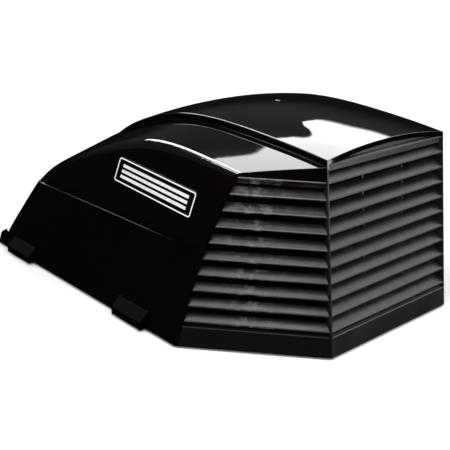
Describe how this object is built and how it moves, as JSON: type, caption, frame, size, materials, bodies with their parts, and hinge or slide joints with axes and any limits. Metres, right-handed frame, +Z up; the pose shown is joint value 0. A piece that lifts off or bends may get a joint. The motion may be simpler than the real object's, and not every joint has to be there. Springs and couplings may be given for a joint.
{
  "type": "roof vent cover",
  "caption": "Weather cover for a vehicle roof vent: glossy hood with louvred rear, hinged on brackets so that it lifts for cleaning.",
  "frame": {"origin": "on the roof surface under the bracket feet, at the middle of the cover's length and width", "axes": "+X to the louvred rear of the cover, +Y to its right (hinge) side, +Z up"},
  "size_m": [0.6014, 0.513, 0.262],
  "materials": {
    "hood_plastic": "glossy moulded",
    "louver_plastic": "satin moulded",
    "badge": "printed plate",
    "steel": "stainless",
    "bracket_steel": "rolled stainless sheet",
    "clip_nylon": "moulded nylon"
  },
  "bodies": {
    "roof_brackets": {"left_front_bracket": "bracket_steel", "left_rear_bracket": "bracket_steel", "right_front_bracket": "bracket_steel", "right_rear_bracket": "bracket_steel"},
    "cover": {"hood": "hood_plastic", "rear_louver": "louver_plastic", "left_louver": "louver_plastic", "right_louver": "louver_plastic", "badge_plate": "badge", "left_lip_screws": "steel", "left_corner_screws": "steel", "left_corner_nuts": "steel", "left_front_pin": "steel", "left_rear_pin": "steel", "right_lip_screws": "steel", "right_corner_screws": "steel", "right_corner_nuts": "steel", "right_front_pin": "steel", "right_rear_pin": "steel", "pin_retainers": "steel"},
    "front_clip": {"front_clip": "clip_nylon"},
    "rear_clip": {"rear_clip": "clip_nylon"}
  },
  "joints": [
    {"name": "cover_hinge", "type": "hinge", "parent": "roof_brackets", "child": "cover", "pos_m": [0, 0.2489, 0.0114], "axis": [-1, 0, 0], "range_deg": [0, 90]},
    {"name": "front_clip_swing", "type": "hinge", "parent": "cover", "child": "front_clip", "pos_m": [-0.1975, -0.2489, 0.0114], "axis": [1, 0, 0], "range_deg": [0, 72]},
    {"name": "rear_clip_swing", "type": "hinge", "parent": "cover", "child": "rear_clip", "pos_m": [0.07, -0.2489, 0.0114], "axis": [1, 0, 0], "range_deg": [0, 72]}
  ]
}
